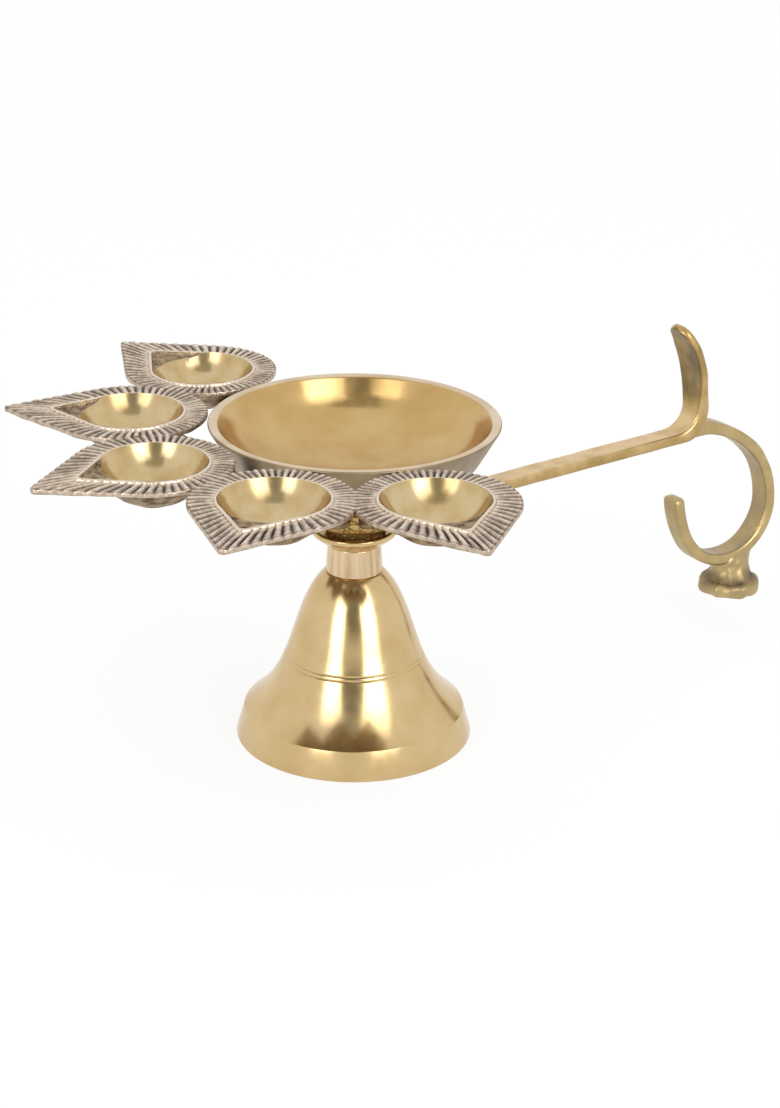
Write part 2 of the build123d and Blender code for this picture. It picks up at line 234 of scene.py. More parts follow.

# %% [markdown]
# ## Satin brass of the handle
# The handle was cast, filed smooth and left to tone down. It is duller and more olive than the bell. Light and shade
# are painted into its colour too: the tops of the bar are painted paler, and its sides, the thumb rest's inner face
# and the inside of the hook's curl are painted darker. The mesh carries this painted light and shade as an attribute
# called dull, and noise only breaks it up.

# %% Handle finish
FILE_MARK, DENT_SIZE = 0.6, 6


def filed_brass(name, pale, mid_tone, dark, rough):
    """Filed casting: colours by its tone and painted shade, and the roughness of its darkest patches."""
    material, tree, in_mm, dents = start_metal(name, (DENT_SIZE, 5.0))
    # The dull attribute is painted light and shade: paler tops, darker sides, inner faces and creases.
    dull = add(tree, "ShaderNodeAttribute", attribute_name="dull").outputs["Fac"]
    patches = add(tree, "ShaderNodeMapRange", {0: dents, 1: 0.25, 2: 0.75, 3: -0.3, 4: 0.3})
    tone_and_painted_shade = add(tree, "ShaderNodeMath", {0: patches, 1: dull}, operation="ADD")
    drawn = add(tree, "ShaderNodeMapping", {"Vector": in_mm, "Scale": (1, 0.15, 1)})
    marks = add(tree, "ShaderNodeTexNoise", {"Vector": drawn, "Scale": 1 / FILE_MARK, "Detail": 3.0})
    stops = [(0.0, pale), (0.45, mid_tone), (1.0, dark)]
    end_metal(tree, tone_and_painted_shade, stops, tone_and_painted_shade, (0.0, 1.0, 0.27, rough), (marks, 0.012), (dents, 0.12))
    return material


bar_brass = filed_brass("brass_filed_bar", "#DABD8F", "#B59863", "#786849", 0.42)
hook_brass = filed_brass("brass_filed_hook", "#CBB37F", "#B39D6F", "#948570", 0.42)
foot_brass = filed_brass("brass_cast_foot", "#C2AC7E", "#A6926A", "#63574A", 0.62)

# %% [markdown]
# ## Turned pieces by one rule
# A turned piece is its half outline swept once round the axis. A Screw modifier could do that piece by piece. A
# Geometry Nodes tree is chosen because one tree with named inputs serves them all: the outline is a chain of edges,
# Mesh to Curve makes it a curve, and Curve to Mesh carries it round a circle. A tiny circle stands for the axis
# itself, because a path of no size has no direction.

# %% Start, end and use of a tree
def new_tree(name, inputs):
    """Geometry Nodes tree with named inputs; gives the tree and the sockets of its inputs."""
    tree = bpy.data.node_groups.new(name, "GeometryNodeTree")
    tree.interface.new_socket("Geometry", in_out="INPUT", socket_type="NodeSocketGeometry")
    for label, kind in inputs.items():
        tree.interface.new_socket(label, in_out="INPUT", socket_type=kind)
    tree.interface.new_socket("Geometry", in_out="OUTPUT", socket_type="NodeSocketGeometry")
    print("tree", name, "with inputs", *inputs)
    return tree, add(tree, "NodeGroupInput").outputs


def end_tree(tree, shape, coat):
    """Ends a tree: what it made becomes real geometry and gets its finish."""
    real = add(tree, "GeometryNodeRealizeInstances", shape)
    painted = add(tree, "GeometryNodeSetMaterial", {"Geometry": real, **coat})
    add(tree, "NodeGroupOutput", {"Geometry": painted})


def run_tree(piece, tree, values):
    """Gives a piece a tree with its inputs set, and returns the result as a plain mesh."""
    modifier = piece.modifiers.new(tree.name, "NODES")
    modifier.node_group = tree
    for socket in tree.interface.items_tree:
        if socket.in_out == "INPUT" and socket.name in values:
            modifier[socket.identifier] = values[socket.name]
    evaluated = piece.evaluated_get(bpy.context.evaluated_depsgraph_get())
    mesh = bpy.data.meshes.new_from_object(evaluated)
    piece.modifiers.remove(modifier)
    return mesh


# %% The turning tree
turning_tree, turning = new_tree("turned_piece", {
    "Steps Around": "NodeSocketInt",
    "Axis Gap": "NodeSocketFloat",
    "Finish": "NodeSocketMaterial",
})
half_outline = add(turning_tree, "GeometryNodeMeshToCurve", {"Mesh": turning["Geometry"]})
circle = {"Resolution": turning["Steps Around"], "Radius": turning["Axis Gap"]}
round_path = add(turning_tree, "GeometryNodeCurvePrimitiveCircle", circle)
swept = add(turning_tree, "GeometryNodeCurveToMesh", {"Curve": round_path, "Profile Curve": half_outline})
end_tree(turning_tree, {"Geometry": swept}, {"Material": turning["Finish"]})

# %% From outline to finished mesh
SHARP = math.radians(32)
AXIS_GAP = 1e-6


def link(data, name):
    """Object that shows a mesh, a light or a camera, at the origin."""
    made = bpy.data.objects.new(name, data)
    bpy.context.scene.collection.objects.link(made)
    return made


def clean(mesh, merge=1e-7):
    """Merges doubled points, turns every face outwards, marks sharp edges and counts edges left open."""
    bm = bmesh.new()
    bm.from_mesh(mesh)
    bmesh.ops.remove_doubles(bm, verts=bm.verts, dist=merge)
    bmesh.ops.dissolve_degenerate(bm, edges=bm.edges, dist=merge)
    bmesh.ops.recalc_face_normals(bm, faces=bm.faces)
    for face in bm.faces:
        face.smooth = True
    open_edges = sum(not edge.is_manifold for edge in bm.edges)
    bm.to_mesh(mesh)
    bm.free()
    mesh.set_sharp_from_angle(angle=SHARP)
    return open_edges


def place(piece, body, slot, *cad_nodes):
    """Puts a finished piece on its body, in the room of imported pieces, and says how big it is."""
    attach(piece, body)
    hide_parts(*cad_nodes)
    box = np.array(piece.bound_box) / MM
    print(piece.name, len(piece.data.polygons), "faces, from", box.min(0).round(1), "to", box.max(0).round(1))


def turn(name, points, material, steps):
    """Turned piece from its half outline, given as (radius, height) in millimetres."""
    ring = [(r * MM, -z * MM, 0) for r, z in points]
    closed = points[0][0] > 0
    edges = [(i, i + 1) for i in range(len(ring) - 1)] + ([(len(ring) - 1, 0)] if closed else [])
    outline = bpy.data.meshes.new(name + "_outline")
    outline.from_pydata(ring, edges, [])
    carrier = link(outline, name + "_carrier")
    mesh = run_tree(carrier, turning_tree, {"Steps Around": steps, "Axis Gap": AXIS_GAP, "Finish": material})
    bpy.data.objects.remove(carrier)
    print(name, "open edges", clean(mesh, 3 * AXIS_GAP))
    return link(mesh, name)


# %% [markdown]
# Outlines are made of straight runs with rounded corners and of smooth curves. A corner on a real turned piece is
# never quite sharp, and its small round is what catches the light. A Bevel modifier could round all corners alike,
# but here each has its own radius.

# %% Rounded corners
def rounded(points, steps=6):
    """Outline through (radius, height) points; a third number rounds that corner by an arc."""
    made = []
    for i, corner in enumerate(points):
        here = np.array(corner[:2], float)
        if len(corner) < 3:
            made.append(here)
            continue
        back = np.array(points[i - 1][:2]) - here
        ahead = np.array(points[(i + 1) % len(points)][:2]) - here
        back /= np.linalg.norm(back)
        ahead /= np.linalg.norm(ahead)
        half = math.acos(np.clip(back @ ahead, -1, 1)) / 2
        middle = here + (back + ahead) / np.linalg.norm(back + ahead) * corner[2] / math.sin(half)
        first = here + back * corner[2] / math.tan(half) - middle
        last = here + ahead * corner[2] / math.tan(half) - middle
        sweep = math.pi - 2 * half
        for a in np.linspace(0, 1, steps + 1):
            made.append(middle + (math.sin((1 - a) * sweep) * first + math.sin(a * sweep) * last) / math.sin(sweep))
    return made


# %% Smooth curves
def smooth_curve(points, start, end, count):
    """Cubic curve through points with a given direction at each end, sampled evenly by length."""
    points = np.array(points, float)
    gaps = np.linalg.norm(np.diff(points, axis=0), axis=1)
    knots = np.concatenate([[0], np.cumsum(gaps)])
    last = len(points) - 1
    system = np.eye(last + 1)
    slopes = np.zeros((last + 1, 2))
    slopes[0] = np.array(start) / np.linalg.norm(start)
    slopes[last] = np.array(end) / np.linalg.norm(end)
    for i in range(1, last):
        before, after = gaps[i - 1], gaps[i]
        system[i, i - 1:i + 2] = after, 2 * (before + after), before
        slopes[i] = 3 * (after * (points[i] - points[i - 1]) / before + before * (points[i + 1] - points[i]) / after)
    slopes = np.linalg.solve(system, slopes)
    made = []
    for at in np.linspace(0, knots[-1], count):
        i = min(np.searchsorted(knots, at, "right") - 1, last - 1)
        t = (at - knots[i]) / gaps[i]
        ends = (1 + 2 * t) * (1 - t) ** 2 * points[i] + t * t * (3 - 2 * t) * points[i + 1]
        made.append(ends + t * (1 - t) * gaps[i] * ((1 - t) * slopes[i] - t * slopes[i + 1]))
    return np.array(made)


# %% [markdown]
# ## The bell
# A hollow bell stands on a sloping band, flares in, and closes at a thick crown that the neck is bolted through. Two
# fine lines are cut round it where the flare begins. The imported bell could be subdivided, but a mirror shows every
# uneven face, so it is turned again from evenly spaced points. The outline goes up outside, down the bore and down
# the inside.

# %% Side of the bell
foot_radius, _, bell_height = corners_mm("bell_base")[1]
band_height, band_inset = 7.4, 2.1
flare_radius, flare_height = 20.75, 15.3
body_radius, body_height = 15.6, 27.5
crown_radius, crown_thickness = 7.4, 8.2
bell_wall = 2.2
tail_radius, bore_gap = 5.0, 0.05
bell_bore = tail_radius + bore_gap
line_heights, line_width, line_depth = (21.45, 22.45), 0.45, 0.13


def bell_side(inset, count):
    """Side of the bell from the band to the crown, moved inwards."""
    points = [
        (foot_radius - band_inset - inset, band_height),
        (flare_radius - inset, flare_height),
        (body_radius - inset, body_height),
        (crown_radius - inset, bell_height),
    ]
    return smooth_curve(points, (-1, 0.8), (-1, 1), count)


def with_lines(side):
    """Cuts the two lines into the side as shallow round grooves."""
    kept = [p for p in side if min(abs(p[1] - h) for h in line_heights) > line_width / 2]
    for line in line_heights:
        for a in np.linspace(-1, 1, 9):
            height = line + a * line_width / 2
            radius = np.interp(height, side[:, 1], side[:, 0])
            kept.append((radius - line_depth * math.cos(a * math.pi / 2) ** 2, height))
    return sorted(kept, key=lambda p: p[1])


# %% Turn the bell
outside = with_lines(bell_side(0, 90))
ceiling = bell_height - crown_thickness
inside = [p for p in bell_side(bell_wall, 60) if p[1] < ceiling]
band = [(foot_radius - bell_wall, 0, 0.3), (foot_radius, 0, 0.4), (*outside[0], 0.2), outside[1]]
bell_outline = rounded(band)[:-1] + outside[1:-1]
bell_outline += rounded([outside[-2], (*outside[-1], 0.4), (bell_bore, bell_height)])[1:]
bell_outline += [(bell_bore, ceiling), (inside[-1][0], ceiling)] + inside[::-1]
place(turn("turned_bell", bell_outline, brass, 256), "base", "polished_brass", "bell_base")

# %% [markdown]
# ## Neck, seat ring and hub
# The neck is a plain sleeve that narrows a little upwards, and its threaded tail goes through the bell. The seat ring
# flares out on it like a saucer. The hub of the head stands in that saucer, narrow at its foot and wide above, with a
# hair of room so that it turns freely. Cylinders and cones could be stacked, but one outline for each piece gives a
# single closed skin with rounded corners.

# %% Turn the neck
neck_low, neck_high = corners_mm("neck_sleeve")
ring_low, ring_high = corners_mm("seat_ring")
ring_seat = ring_low[2]
neck_foot, neck_top = 7.1, 6.65
pilot_radius, stud_bore = 5.2, 3.06
neck_outline = rounded([
    (stud_bore, neck_low[2]),
    (tail_radius, neck_low[2], 0.4),
    (tail_radius, bell_height),
    (neck_foot, bell_height, 0.25),
    (neck_top, ring_seat, 0.2),
    (pilot_radius, ring_seat),
    (pilot_radius, neck_high[2]),
    (stud_bore, neck_high[2]),
])
place(turn("turned_neck", neck_outline, neck_brass, 128), "base", "neck_brass", "neck_sleeve")

# %% Turn the seat ring
hub_low, hub_high = corners_mm("hub")
hub_seat, hub_top, hub_radius = hub_low[2], hub_high[2], hub_high[0]
ring_radius, ring_top, ring_edge = ring_high[0], ring_high[2], 1.1
knee_radius, knee_rise = 8.75, 1.5
saucer_radius, turning_gap = 7.8, 0.02
saucer_floor = hub_seat - turning_gap
pilot_bore, pilot_end = pilot_radius + bore_gap, neck_high[2] + bore_gap
saucer = [(neck_top + bore_gap, ring_seat), (knee_radius, ring_seat + knee_rise), (ring_radius, ring_top - ring_edge)]
under_saucer = smooth_curve(saucer, (1, 0.7), (1, 1.1), 14)
ring_outline = [(pilot_bore, ring_seat), *under_saucer[:-1]]
ring_outline += rounded([
    under_saucer[-2],
    (*under_saucer[-1], 0.3),
    (ring_radius, ring_top, 0.4),
    (ring_radius - ring_edge, ring_top, 0.3),
    (saucer_radius, saucer_floor),
    (stud_bore, saucer_floor),
    (stud_bore, pilot_end),
    (pilot_bore, pilot_end),
])[1:]
place(turn("turned_ring", ring_outline, brass, 128), "base", "polished_brass", "seat_ring")

# %% Turn the hub
hub_foot, hub_foot_height = 7.2, 2.4
hub_drop, hub_belly = 1.6, 1.4
waist = np.array([hub_foot, hub_seat + hub_foot_height])
elbow = np.array([hub_radius, waist[1]])
belly = np.array([hub_radius, hub_top - hub_drop - hub_belly])
calyx = [(1 - t) ** 2 * waist + 2 * t * (1 - t) * elbow + t * t * belly for t in np.linspace(0, 1, 18)]
hub_outline = rounded([(stud_bore, hub_seat), (hub_foot, hub_seat, 0.3), (*waist, 0.3), calyx[2]])[:-1] + calyx[2:]
hub_outline += rounded([
    calyx[-1],
    (hub_radius, hub_top - hub_drop, 0.6),
    (hub_radius - hub_drop, hub_top, 0.5),
    (stud_bore, hub_top),
])[1:]
place(turn("turned_hub", hub_outline, hub_brass, 128), "head", "polished_brass", "hub")

# %% [markdown]
# ## The centre bowl
# A shallow bowl with sloping sides, a flat rim and a boss below that takes the stud. Inside, the side runs into the
# floor in one soft curve, so the softboxes fade out there. Only the inside and the rim were buffed, and the outside
# is dull. The top of the rim is painted pale, a painted reflection of the white room. One outline makes all of it,
# and faces get their finish by the way they point, because separate shells would show a seam at the rim.

# %% Sizes of the bowl
bowl_low, bowl_high = corners_mm("center_bowl")
bowl_foot, bowl_rim, rim_radius = bowl_low[2], bowl_high[2], bowl_high[0]
wall_drop, wall_lean, bowl_wall = 11.0, 6.2, 2.1
boss_radius, boss_height, socket_depth = 8.0, 2.0, 2.0
rim_width, rim_round, rim_bevel = 2.3, 1.2, 0.35
floor_round, under_round = 15.0, 9.0


def rising_arc(start, end, corner):
    """Arc that leaves its start level and climbs towards its end, stopping short of a rounded corner there."""
    run, climb = end[0] - start[0], end[1] - start[1]
    radius = (run * run + climb * climb) / (2 * climb)
    angles = np.linspace(0, math.asin(run / radius), 40)
    points = np.column_stack([start[0] + radius * np.sin(angles), start[1] + radius * (1 - np.cos(angles))])
    return [p for p in points if math.dist(p, end) > corner * 0.6]


# %% Turn the bowl
turn_out = (rim_radius - wall_lean, bowl_rim - wall_drop)
slant = math.hypot(wall_lean, wall_drop) / wall_drop
turn_in_drop = wall_drop - bowl_wall
turn_in = (rim_radius - wall_lean * turn_in_drop / wall_drop - bowl_wall * slant, bowl_rim - turn_in_drop)
under = rising_arc((boss_radius, bowl_foot + boss_height), turn_out, under_round)
floor = rising_arc((0, bowl_foot + boss_height + bowl_wall), turn_in, floor_round)
bowl_outline = rounded([
    (0, bowl_foot + socket_depth),
    (stud_bore, bowl_foot + socket_depth),
    (stud_bore, bowl_foot),
    (boss_radius, bowl_foot, 0.4),
    under[0],
])[:-1] + under
bowl_outline += rounded([
    under[-1],
    (*turn_out, under_round),
    (rim_radius, bowl_rim - rim_bevel, 0.25),
    (rim_radius - rim_bevel, bowl_rim, 0.2),
    (rim_radius - rim_width, bowl_rim, rim_round),
    (*turn_in, floor_round),
    floor[-1],
], 10)[1:-1] + floor[::-1]
bowl = turn("turned_bowl", bowl_outline, bowl_brass, 320)

# %% Leave the bowl dull outside, with a painted reflection on top of its rim
leaning, level, rim_zone = 0.2, 0.8, 0.4
for material in (outer_brass, rim_reflection_brass):
    bowl.data.materials.append(material)
for face in bowl.data.polygons:
    outwards = face.normal.xy.dot(face.center.xy) > leaning * face.center.xy.length
    # Faces on top of the rim get the painted reflection.
    on_top = face.normal.z > level and face.center.z > (bowl_rim - rim_zone) * MM
    face.material_index = 2 if on_top else int(outwards or face.normal.z < -leaning)
place(bowl, "bowl", "polished_brass", "center_bowl")

# %% [markdown]
# ## Leaf cups
# Each cup is one casting: a round well, a pointed wick channel, a thin raised lip and a rim shaped like a leaf. The
# rim has ribs that stand square to the round end and lean towards the tip along the straight sides. A boolean could
# cut the well out of a block, but its faces would follow no rib. So the mesh is a net of rows that all run round the
# leaf. Every row starts at the round end and is divided into equal shares of its own length, so a column of the net
# leans exactly as a rib does, and the ribs can follow it. On the real cups, filing has taken the lip down to the
# level of the rim's edge, so the net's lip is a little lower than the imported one.

# %% Leaf outlines
cup_low, cup_high = corners_mm("leaf_cup_3")
cup_count, cup_pitch = 5, 38.5
rib_count, columns_per_rib = 60, 9
columns = rib_count * columns_per_rib
rib_spread = 0.22
leaf_radius, leaf_length, tip_round = 19.5, 51.4, 1.5
leaf_gap, well_shift = 0.5, 0.6
leaf_center = rim_radius + leaf_gap + leaf_radius
lip_width, lip_height, lip_filed = 0.85, 0.3, 0.85
lip_top = cup_high[2] - lip_filed
rim_level = lip_top - lip_height
rim_rise, rim_edge = 0.25, 1.55
well_center = leaf_center - well_shift
well_radius, well_depth, well_point, well_wall = 12.8, 8.65, 20.0, 1.8
shares = np.arange(columns) / columns


def leaf_outline(center, radius, point):
    """Round end, two tangent sides and a rounded tip, at equal shares of the outline's length."""
    sharp = math.asin(radius / point)
    shoulder = math.pi / 2 - sharp
    arc = radius * (math.pi - shoulder)
    side = math.sqrt(point ** 2 - radius ** 2) - tip_round / math.tan(sharp)
    s = np.minimum(shares, 1 - shares) * 2 * (arc + side + tip_round * shoulder)
    hand = np.where(shares <= 0.5, 1, -1)
    angle = math.pi - s / radius
    along = s - arc
    bend = shoulder - (along - side) / tip_round
    where = [s < arc, along < side]
    nose = center + point - tip_round / math.sin(sharp)
    ends = center + radius * np.cos(angle), center + radius * math.cos(shoulder) + along * math.cos(sharp)
    u = np.select(where, ends, nose + tip_round * np.cos(bend))
    ends = radius * np.sin(angle), radius * math.sin(shoulder) - along * math.sin(sharp)
    v = np.select(where, ends, tip_round * np.sin(bend))
    return np.column_stack([u, hand * v])


def well_outline(margin):
    return leaf_outline(well_center, well_radius + margin, well_point * (1 + margin / well_radius))


outer_edge = leaf_outline(leaf_center, leaf_radius, leaf_length - leaf_radius)
print("leaf tip", outer_edge[:, 0].max().round(2), "mm from the axis, packed piece", (-cup_low[0]).round(2))

# %% [markdown]
# The rows go from the middle of the well over the lip and the rim, round the edge and back under the belly. The
# channel floor meets the round well in a clear edge, so the well has rows up to that edge and the channel has its own
# from there to the lip.

# %% Where the well and the channel meet
ball_radius = (well_radius ** 2 + well_depth ** 2) / (2 * well_depth)
ball_middle = lip_top - well_depth + ball_radius
belly_radius = ball_radius + well_wall
channel_end, channel_slope = 0.5, math.tan(math.radians(5))
opening_angle = math.radians(26)
polar = well_outline(0) - np.array([well_center, 0])
reach = np.linalg.norm(polar, axis=1)
facing = polar / reach[:, None]
opening = math.acos(well_radius / well_point) - np.arccos(np.clip(facing[:, 0], -1, 1))
opening = np.clip(opening / opening_angle, 0, 1)
opening = opening * opening * (3 - 2 * opening)


def on_rays(r):
    """Points at a distance from the middle of the well, one in each column."""
    return np.array([well_center, 0]) + facing * np.reshape(r, (-1, 1))


def ball_height(r, radius):
    return ball_middle - np.sqrt(np.maximum(radius ** 2 - r ** 2, 0))


def channel_height(r):
    from_point = well_point - r * facing[:, 0]
    return lip_top - (channel_end + from_point * channel_slope) * opening


well_edge = np.minimum(reach, well_radius)
for _ in range(40):
    limit = np.sqrt(np.maximum(ball_radius ** 2 - (ball_middle - channel_height(well_edge)) ** 2, 0))
    well_edge = np.minimum(limit, np.minimum(reach, well_radius))
print("well edge", well_edge.min().round(2), "to", well_edge.max().round(2), "mm from its middle")

# %% Rows of the well, the channel and the lip
WELL, CHANNEL, LIP, RIM, EDGE, UNDER = range(6)
rows = []


def row(flat, height, part, groove=0.0):
    """Adds a row: its points in plan, their height, what it belongs to and how deep the ribs are cut there."""
    rows.append((np.column_stack([flat, np.broadcast_to(height, len(flat))]), part, groove))


for a in np.linspace(0, 1, 17)[1:]:
    row(on_rays(well_edge * a), ball_height(well_edge * a, ball_radius), WELL)
channel_gap, channel_step = 0.35, 0.16
cross_rib, cross_pitch = 0.3, 2.9
for a in np.linspace(0, 1, 29)[1:]:
    r = well_edge + (reach - channel_gap * opening - well_edge) * a
    ripple = cross_rib * np.cos(2 * math.pi * r * facing[:, 0] / cross_pitch) * opening * min(1, 5 * a, 5 * (1 - a))
    row(on_rays(r), channel_height(r) + ripple, CHANNEL)
row(well_outline(0), lip_top - channel_step, CHANNEL)
for margin, drop in ((0.12, 0.03), (0.32, 0.0), (0.52, 0.05), (0.68, 0.18)):
    row(well_outline(margin), lip_top - drop, LIP)
lip_foot, foot_drop = well_outline(lip_width), 0.15
row(lip_foot, rim_level - foot_drop, LIP, 0.35)
print("rows of well, channel and lip", len(rows))

# %% Rows of the rim, the edge and the belly
side_way = np.column_stack([-np.gradient(outer_edge[:, 1]), np.gradient(outer_edge[:, 0])])
outward = side_way / np.linalg.norm(side_way, axis=1)[:, None]
edge_round, plate_round, rim_crown = 0.5, 0.25, 0.12
edge_top = rim_level + rim_rise
plate_low = edge_top - rim_edge
shelf = outer_edge - outward * edge_round
for a in np.linspace(0, 1, 11):
    flat = lip_foot + (shelf - lip_foot) * (0.06 + 0.94 * a)
    height = rim_level + rim_rise * a + rim_crown * math.sin(a * math.pi)
    row(flat, height, RIM, min(1.0, 0.3 + 2.2 * a, 0.7 + 1.8 * (1 - a)))
for degrees, groove in ((25, 0.6), (50, 0.4), (72, 0.2), (90, 0.08)):
    turned = math.radians(degrees)
    flat = outer_edge - outward * edge_round * (1 - math.sin(turned))
    row(flat, edge_top - edge_round * (1 - math.cos(turned)), EDGE, groove)
row(outer_edge, plate_low + plate_round, EDGE)
under_edge = outer_edge - outward * plate_round
row(under_edge, plate_low, UNDER)
belly_edge = np.full(columns, math.sqrt(belly_radius ** 2 - (ball_middle - plate_low) ** 2))
for a in (0.4, 0.8):
    row(under_edge * (1 - a) + on_rays(belly_edge) * a, plate_low, UNDER)
for a in np.linspace(1, 0, 14)[:-1]:
    row(on_rays(belly_edge * a), ball_height(belly_edge * a, belly_radius), UNDER)
print("all rows", len(rows), "of", columns, "points")

# %% [markdown]
# The ribs could be separate wedges set round the rim, but on the real cups they run into it. So a Geometry Nodes tree
# moves the net's own points. It reads how far round the rim each point is, counted in ribs, and lowers the point by a
# wave with a round top and a sharp bottom. A random share for each rib, with a fixed seed, keeps the ribs from
# looking stamped. The same wave is stored as crest for the finish, less a painted shade that makes the plain edge
# band darker than the rib tops.

# %% The rib tree
ROUND_TOP = 0.85
rib_tree, rib = new_tree("ribbed_rim", {
    "Groove Depth": "NodeSocketFloat",
    "Scallop Depth": "NodeSocketFloat",
    "Unevenness": "NodeSocketFloat",
    "Seed": "NodeSocketInt",
    "Finish": "NodeSocketMaterial",
})
read = {"rib_phase": "FLOAT", "groove": "FLOAT", "shade": "FLOAT", "outward": "FLOAT_VECTOR", "ribbed": "BOOLEAN"}
worked = {}
for name, kind in read.items():
    worked[name] = add(rib_tree, "GeometryNodeInputNamedAttribute", {"Name": name}, data_type=kind)
number = add(rib_tree, "ShaderNodeMath", {0: worked["rib_phase"]}, operation="ROUND")
chance = {2: 0.0, 3: rib["Unevenness"], "ID": number, "Seed": rib["Seed"]}
worked["worn_off"] = add(rib_tree, "FunctionNodeRandomValue", chance, data_type="FLOAT")
# Each step names its result, then the operation, then the values or earlier results that it works on.
steps = [
    ("half_turns", "MULTIPLY", "rib_phase", math.pi),
    ("swing", "COSINE", "half_turns"),
    ("hump", "ABSOLUTE", "swing"),
    ("wave", "POWER", "hump", ROUND_TOP),
    ("left", "SUBTRACT", 1.0, "worn_off"),
    ("uneven", "MULTIPLY", "wave", "left"),
    ("from_top", "SUBTRACT", "uneven", 1.0),
    ("cut", "MULTIPLY", "from_top", "groove"),
    ("sunk", "MULTIPLY", "cut", rib["Groove Depth"]),
    ("inward", "MULTIPLY", "cut", rib["Scallop Depth"]),
    # The painted shade of the plain edge band comes off the crest here.
    ("unshaded", "SUBTRACT", 1.0, "shade"),
    ("crest", "ADD", "unshaded", "cut"),
]
for name, operation, *terms in steps:
    sockets = {i: worked.get(term, term) for i, term in enumerate(terms)}
    worked[name] = add(rib_tree, "ShaderNodeMath", sockets, operation=operation)

# %% Cut the wave into the rim
inward = {0: worked["outward"], "Scale": worked["inward"]}
drawn_in = add(rib_tree, "ShaderNodeVectorMath", inward, operation="SCALE")
lowered = add(rib_tree, "ShaderNodeCombineXYZ", {"Z": worked["sunk"]})
shift = add(rib_tree, "ShaderNodeVectorMath", {0: drawn_in, 1: lowered}, operation="ADD")
moved = add(rib_tree, "GeometryNodeSetPosition", {"Geometry": rib["Geometry"], "Offset": shift})
keep = {"Geometry": moved, "Name": "crest", "Value": worked["crest"]}
stored = add(rib_tree, "GeometryNodeStoreNamedAttribute", keep, data_type="FLOAT", domain="POINT")
end_tree(rib_tree, {"Geometry": stored}, {"Selection": worked["ribbed"], "Material": rib["Finish"]})

# %% [markdown]
# One leaf is netted along +X. Each cup is that leaf with its own seed, sawn off along the planes half way to its
# neighbours, where the real cups are brazed together, and turned to its place.

# %% Rings of points and named numbers
def net_faces(count, size):
    """Quads between neighbouring rows of a net, each row a closed ring of points."""
    here = np.arange(size)
    ahead = np.roll(here, -1)
    quads = np.column_stack([here, ahead, size + ahead, size + here])
    return [quad for low in range(0, (count - 1) * size, size) for quad in (low + quads).tolist()]


def store(mesh, name, numbers):
    """Keeps one number for each point of a mesh under a name."""
    mesh.attributes.new(name, "FLOAT", "POINT").data.foreach_set("value", np.asarray(numbers, np.float32))


# %% Net of one leaf
# Painted shade: the plain edge band of each rim is painted darker than the rib tops.
EDGE_SHADE = 0.22
row_parts = np.array([part for _, part, _ in rows])


def by_row(numbers, ends=(0, 0)):
    """One number for each point of the net, alike along a row, and one for each of its two middle points."""
    return np.append(np.repeat(numbers, columns), ends)


def leaf_net():
    """Mesh of one whole leaf from its rows, with the attributes that the rib tree and the finishes read."""
    middles = [[well_center, 0, lip_top - well_depth], [well_center, 0, ball_middle - belly_radius]]
    points = np.concatenate([flat for flat, _, _ in rows] + [middles])
    pole, last = len(rows) * columns, (len(rows) - 1) * columns
    pairs = [(i, (i + 1) % columns) for i in range(columns)]
    faces = [[pole, j, i] for i, j in pairs] + [[pole + 1, last + i, last + j] for i, j in pairs]
    mesh = bpy.data.meshes.new("leaf_net")
    mesh.from_pydata((points * MM).tolist(), [], faces + net_faces(len(rows), columns))
    rib_place = rib_count * (shares + rib_spread * np.sin(2 * math.pi * shares) / (2 * math.pi))
    store(mesh, "rib_phase", np.append(np.tile(rib_place, len(rows)), [0, 0]))
    store(mesh, "groove", by_row([depth for _, _, depth in rows]))
    store(mesh, "from_axis", np.hypot(points[:, 0] - well_center, points[:, 1]))
    store(mesh, "shade", by_row(EDGE_SHADE * (row_parts == EDGE)))
    store(mesh, "rim", by_row(np.isin(row_parts, (LIP, RIM))))
    store(mesh, "belly", by_row(row_parts == UNDER, (0, 1)))
    ways = np.zeros((len(points), 3), np.float32)
    ways[:-2, :2] = np.tile(outward, (len(rows), 1))
    mesh.attributes.new("outward", "FLOAT_VECTOR", "POINT").data.foreach_set("vector", ways.ravel())
    parts = np.repeat([WELL, UNDER, *row_parts[1:]], columns)
    ribbed = np.isin(parts, (LIP, RIM, EDGE))
    mesh.attributes.new("ribbed", "BOOLEAN", "FACE").data.foreach_set("value", ribbed)
    for material in (well_brass, skin_brass, rim_brass):
        mesh.materials.append(material)
    finish_of = {WELL: 0, CHANNEL: 1, LIP: 2, RIM: 2, EDGE: 2, UNDER: 1}
    mesh.polygons.foreach_set("material_index", [finish_of[part] for part in parts])
    return mesh


# %% Saw and roughen
def saw(mesh, plane_normal):
    """Cuts away what lies beyond a plane through the lamp's axis, and closes the cut."""
    bm = bmesh.new()
    bm.from_mesh(mesh)
    everything = bm.verts[:] + bm.edges[:] + bm.faces[:]
    made = bmesh.ops.bisect_plane(bm, geom=everything, plane_co=(0, 0, 0), plane_no=plane_normal, clear_outer=True)
    edges = [part for part in made["geom_cut"] if isinstance(part, bmesh.types.BMEdge)]
    filled = bmesh.ops.triangle_fill(bm, edges=edges, use_beauty=True)
    for part in filled["geom"]:
        if isinstance(part, bmesh.types.BMFace):
            part.material_index = 1
    bm.to_mesh(mesh)
    bm.free()


